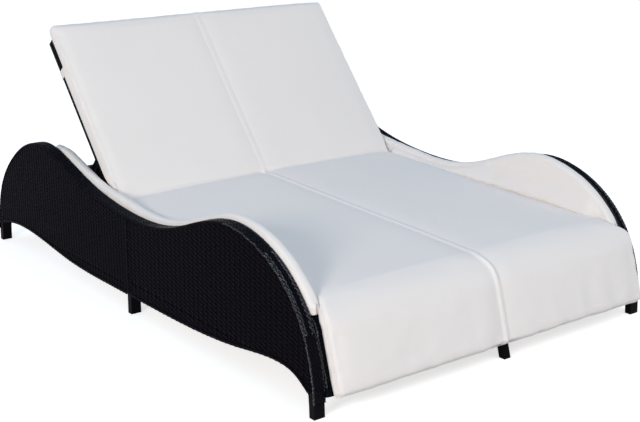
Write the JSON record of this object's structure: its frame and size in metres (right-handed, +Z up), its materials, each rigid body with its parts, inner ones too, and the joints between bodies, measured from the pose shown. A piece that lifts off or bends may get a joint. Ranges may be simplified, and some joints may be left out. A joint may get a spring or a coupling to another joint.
{
  "type": "double chaise lounger",
  "caption": "Wide woven chaise lounger for the patio with wave-shaped sides, a cushioned seat rolling over the foot end and a hinged backrest held by a prop in notched racks.",
  "frame": {"origin": "on the floor under the middle of the whole lounger, cushion included", "axes": "+X across the lounger, +Y from the foot end to the head end, +Z up"},
  "size_m": [1.35, 2.0545, 0.8562],
  "materials": {
    "powder_coated_steel": "satin black powder coat",
    "woven_resin": "black flat resin strand, softly glossy, woven",
    "cushion_cloth": "cream woven polyester over foam, matte",
    "zinc_fasteners": "zinc plated",
    "foot_plastic": "moulded black",
    "bush_nylon": "turned nylon"
  },
  "bodies": {
    "frame": {"edge_braid_left": "woven_resin", "edge_braid_right": "woven_resin", "foot_caps": "foot_plastic", "frame_bolts": "zinc_fasteners", "front_centre_leg": "powder_coated_steel", "front_foot_crossbar": "powder_coated_steel", "hinge_brackets": "powder_coated_steel", "hinge_bushes": "bush_nylon", "hinge_crossbar": "powder_coated_steel", "hinge_pins": "zinc_fasteners", "inner_weave_left": "woven_resin", "inner_weave_right": "woven_resin", "lower_rail_left": "powder_coated_steel", "lower_rail_right": "powder_coated_steel", "middle_leg_left": "powder_coated_steel", "middle_leg_right": "powder_coated_steel", "notch_rack_left": "powder_coated_steel", "notch_rack_right": "powder_coated_steel", "outer_weave_left": "woven_resin", "outer_weave_right": "woven_resin", "rear_apron_rail": "powder_coated_steel", "rear_apron_weave": "woven_resin", "rear_centre_leg": "powder_coated_steel", "rear_crossbar": "powder_coated_steel", "rear_foot_crossbar": "powder_coated_steel", "rear_rail_left": "powder_coated_steel", "rear_rail_right": "powder_coated_steel", "seat_centre_rail": "powder_coated_steel", "seat_cushion": "cushion_cloth", "seat_deck_weave": "woven_resin", "seat_front_crossbar": "powder_coated_steel", "seat_middle_crossbar": "powder_coated_steel", "seat_rail_left": "powder_coated_steel", "seat_rail_right": "powder_coated_steel", "wave_rail_left": "powder_coated_steel", "wave_rail_right": "powder_coated_steel", "wing_pad_left": "cushion_cloth", "wing_pad_right": "cushion_cloth"},
    "backrest": {"back_side_rail_left": "powder_coated_steel", "back_side_rail_right": "powder_coated_steel", "back_top_rail": "powder_coated_steel", "back_middle_rail": "powder_coated_steel", "back_bottom_rail": "powder_coated_steel", "back_centre_rail": "powder_coated_steel", "back_weave": "woven_resin", "back_cushion": "cushion_cloth", "cushion_straps": "cushion_cloth", "prop_brackets": "powder_coated_steel", "prop_pins": "zinc_fasteners"},
    "prop": {"prop_arm_left": "powder_coated_steel", "prop_arm_right": "powder_coated_steel", "prop_foot_bar": "powder_coated_steel"}
  },
  "joints": [
    {"name": "backrest_recline", "type": "hinge", "parent": "frame", "child": "backrest", "pos_m": [0, 0.2253, 0.28], "axis": [1, 0, 0], "range_deg": [-49.57, 0]},
    {"name": "prop_swing", "type": "hinge", "parent": "backrest", "child": "prop", "pos_m": [0, 0.39597, 0.44332], "axis": [1, 0, 0], "range_deg": [0, 99.14]}
  ],
  "couplings": [
    {"joint": "prop_swing", "follows": "backrest_recline", "ratio": -2}
  ]
}
